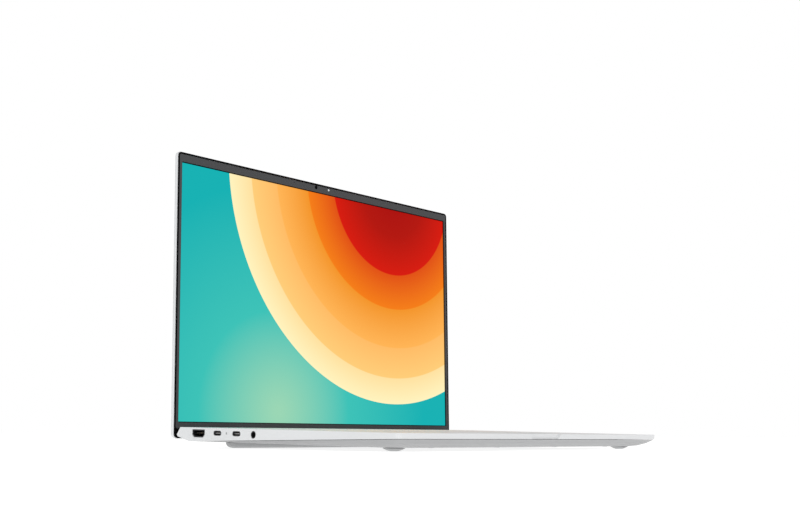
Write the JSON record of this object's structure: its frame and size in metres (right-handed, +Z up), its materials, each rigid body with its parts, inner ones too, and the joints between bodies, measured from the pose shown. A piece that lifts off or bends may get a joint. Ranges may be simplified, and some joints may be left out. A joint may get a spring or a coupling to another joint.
{
  "type": "laptop computer",
  "caption": "Thin white clamshell laptop, lid open on two hinges, with a full keyboard with number pad, touchpad, side sockets, a cooling fan and rubber feet.",
  "frame": {"origin": "middle of the whole open laptop's box, on the surface it stands on", "axes": "+X to the user's right, +Y away from the user, +Z up; the deck leans forward by the height of the rear foot"},
  "size_m": [0.3552, 0.2516, 0.2452],
  "materials": {
    "shell": "white painted light alloy, fine satin",
    "under": "pale grey painted light alloy, satin",
    "key": "white keys, fine matte",
    "pad": "smooth satin",
    "bezel": "dark grey, fine matte grain",
    "rubber": "black, matte",
    "foot": "grey, matte",
    "screen": "lit display, anti-glare",
    "steel": "satin plated steel",
    "copper": "plain copper",
    "board": "solder mask",
    "plastic": "black moulding",
    "lamp": "clear light guide"
  },
  "bodies": {
    "base": {"top_case": "shell", "bottom_cover": "under", "keyboard_backplate": "steel", "motherboard": "board", "battery_pack": "plastic", "fan_housing": "plastic", "heat_sink": "copper", "heat_pipe": "copper", "ssd": "board", "wifi_card": "board", "hdmi_port": "steel", "audio_jack": "plastic", "charge_lamp": "lamp", "usb_c_port_rear": "steel", "usb_c_port_front": "steel", "usb_a_port_rear": "steel", "usb_a_port_front": "steel", "card_slot": "steel", "lock_plate": "steel", "rear_foot": "foot", "speaker_left": "plastic", "speaker_right": "plastic", "hinge_bracket_left": "steel", "hinge_bracket_right": "steel", "front_foot_left": "foot", "front_foot_right": "foot"},
    "lid": {"lid_cover": "shell", "screen_bezel": "bezel", "rim_gasket": "rubber", "display_panel": "screen", "camera_module": "plastic", "hinge_arm_left": "steel", "hinge_arm_right": "steel", "hinge_pin_left": "steel", "hinge_pin_right": "steel"},
    "fan": {"fan_impeller": "plastic"},
    "touchpad": {"touchpad": "pad"},
    "power_button": {"power_button": "key"},
    "function_row_keys": {"function_row_keys": "key"},
    "number_row_keys": {"number_row_keys": "key"},
    "upper_letter_keys": {"upper_letter_keys": "key"},
    "home_letter_keys": {"home_letter_keys": "key"},
    "lower_letter_keys": {"lower_letter_keys": "key"},
    "left_modifier_keys": {"left_modifier_keys": "key"},
    "right_modifier_keys": {"right_modifier_keys": "key"},
    "numpad_keys": {"numpad_keys": "key"},
    "escape_key": {"escape_key": "key"},
    "backspace_key": {"backspace_key": "key"},
    "tab_key": {"tab_key": "key"},
    "caps_lock_key": {"caps_lock_key": "key"},
    "enter_key": {"enter_key": "key"},
    "left_shift_key": {"left_shift_key": "key"},
    "right_shift_key": {"right_shift_key": "key"},
    "arrow_up_key": {"arrow_up_key": "key"},
    "space_bar": {"space_bar": "key"},
    "arrow_left_key": {"arrow_left_key": "key"},
    "arrow_down_key": {"arrow_down_key": "key"},
    "arrow_right_key": {"arrow_right_key": "key"},
    "numpad_plus_key": {"numpad_plus_key": "key"},
    "numpad_enter_key": {"numpad_enter_key": "key"}
  },
  "joints": [
    {"name": "lid_hinge", "type": "hinge", "parent": "base", "child": "lid", "pos_m": [0, 0.10909, 0.0106], "axis": [-1, 0, 0], "range_deg": [-92.29, 42.71]},
    {"name": "fan_spin", "type": "hinge", "parent": "base", "child": "fan", "pos_m": [0.1, 0.04427, 0.00777], "axis": [0, -0.016, 0.9999], "continuous": true},
    {"name": "touchpad_click", "type": "hinge", "parent": "base", "child": "touchpad", "pos_m": [-0.03, -0.03062, 0.01303], "axis": [1, 0, 0], "range_deg": [0, 0.3], "stiffness_Nm_per_rad": 30, "springref_deg": -0.23},
    {"name": "power_press", "type": "slide", "parent": "base", "child": "power_button", "axis": [0, 0.016, -0.9999], "range_m": [0, 0.0006], "stiffness_N_per_m": 900, "springref_m": -0.0005},
    {"name": "function_row_press", "type": "slide", "parent": "base", "child": "function_row_keys", "axis": [0, 0.016, -0.9999], "range_m": [0, 0.0015], "stiffness_N_per_m": 900, "springref_m": -0.0007},
    {"name": "number_row_press", "type": "slide", "parent": "base", "child": "number_row_keys", "axis": [0, 0.016, -0.9999], "range_m": [0, 0.0015], "stiffness_N_per_m": 900, "springref_m": -0.0007},
    {"name": "upper_letter_press", "type": "slide", "parent": "base", "child": "upper_letter_keys", "axis": [0, 0.016, -0.9999], "range_m": [0, 0.0015], "stiffness_N_per_m": 900, "springref_m": -0.0007},
    {"name": "home_letter_press", "type": "slide", "parent": "base", "child": "home_letter_keys", "axis": [0, 0.016, -0.9999], "range_m": [0, 0.0015], "stiffness_N_per_m": 900, "springref_m": -0.0007},
    {"name": "lower_letter_press", "type": "slide", "parent": "base", "child": "lower_letter_keys", "axis": [0, 0.016, -0.9999], "range_m": [0, 0.0015], "stiffness_N_per_m": 900, "springref_m": -0.0007},
    {"name": "left_modifier_press", "type": "slide", "parent": "base", "child": "left_modifier_keys", "axis": [0, 0.016, -0.9999], "range_m": [0, 0.0015], "stiffness_N_per_m": 900, "springref_m": -0.0007},
    {"name": "right_modifier_press", "type": "slide", "parent": "base", "child": "right_modifier_keys", "axis": [0, 0.016, -0.9999], "range_m": [0, 0.0015], "stiffness_N_per_m": 900, "springref_m": -0.0007},
    {"name": "numpad_press", "type": "slide", "parent": "base", "child": "numpad_keys", "axis": [0, 0.016, -0.9999], "range_m": [0, 0.0015], "stiffness_N_per_m": 900, "springref_m": -0.0007},
    {"name": "escape_press", "type": "slide", "parent": "base", "child": "escape_key", "axis": [0, 0.016, -0.9999], "range_m": [0, 0.0015], "stiffness_N_per_m": 400, "springref_m": -0.0007},
    {"name": "backspace_press", "type": "slide", "parent": "base", "child": "backspace_key", "axis": [0, 0.016, -0.9999], "range_m": [0, 0.0015], "stiffness_N_per_m": 400, "springref_m": -0.0007},
    {"name": "tab_press", "type": "slide", "parent": "base", "child": "tab_key", "axis": [0, 0.016, -0.9999], "range_m": [0, 0.0015], "stiffness_N_per_m": 400, "springref_m": -0.0007},
    {"name": "caps_lock_press", "type": "slide", "parent": "base", "child": "caps_lock_key", "axis": [0, 0.016, -0.9999], "range_m": [0, 0.0015], "stiffness_N_per_m": 400, "springref_m": -0.0007},
    {"name": "enter_press", "type": "slide", "parent": "base", "child": "enter_key", "axis": [0, 0.016, -0.9999], "range_m": [0, 0.0015], "stiffness_N_per_m": 400, "springref_m": -0.0007},
    {"name": "left_shift_press", "type": "slide", "parent": "base", "child": "left_shift_key", "axis": [0, 0.016, -0.9999], "range_m": [0, 0.0015], "stiffness_N_per_m": 400, "springref_m": -0.0007},
    {"name": "right_shift_press", "type": "slide", "parent": "base", "child": "right_shift_key", "axis": [0, 0.016, -0.9999], "range_m": [0, 0.0015], "stiffness_N_per_m": 400, "springref_m": -0.0007},
    {"name": "arrow_up_press", "type": "slide", "parent": "base", "child": "arrow_up_key", "axis": [0, 0.016, -0.9999], "range_m": [0, 0.0015], "stiffness_N_per_m": 400, "springref_m": -0.0007},
    {"name": "space_bar_press", "type": "slide", "parent": "base", "child": "space_bar", "axis": [0, 0.016, -0.9999], "range_m": [0, 0.0015], "stiffness_N_per_m": 400, "springref_m": -0.0007},
    {"name": "arrow_left_press", "type": "slide", "parent": "base", "child": "arrow_left_key", "axis": [0, 0.016, -0.9999], "range_m": [0, 0.0015], "stiffness_N_per_m": 400, "springref_m": -0.0007},
    {"name": "arrow_down_press", "type": "slide", "parent": "base", "child": "arrow_down_key", "axis": [0, 0.016, -0.9999], "range_m": [0, 0.0015], "stiffness_N_per_m": 400, "springref_m": -0.0007},
    {"name": "arrow_right_press", "type": "slide", "parent": "base", "child": "arrow_right_key", "axis": [0, 0.016, -0.9999], "range_m": [0, 0.0015], "stiffness_N_per_m": 400, "springref_m": -0.0007},
    {"name": "numpad_plus_press", "type": "slide", "parent": "base", "child": "numpad_plus_key", "axis": [0, 0.016, -0.9999], "range_m": [0, 0.0015], "stiffness_N_per_m": 400, "springref_m": -0.0007},
    {"name": "numpad_enter_press", "type": "slide", "parent": "base", "child": "numpad_enter_key", "axis": [0, 0.016, -0.9999], "range_m": [0, 0.0015], "stiffness_N_per_m": 400, "springref_m": -0.0007}
  ]
}
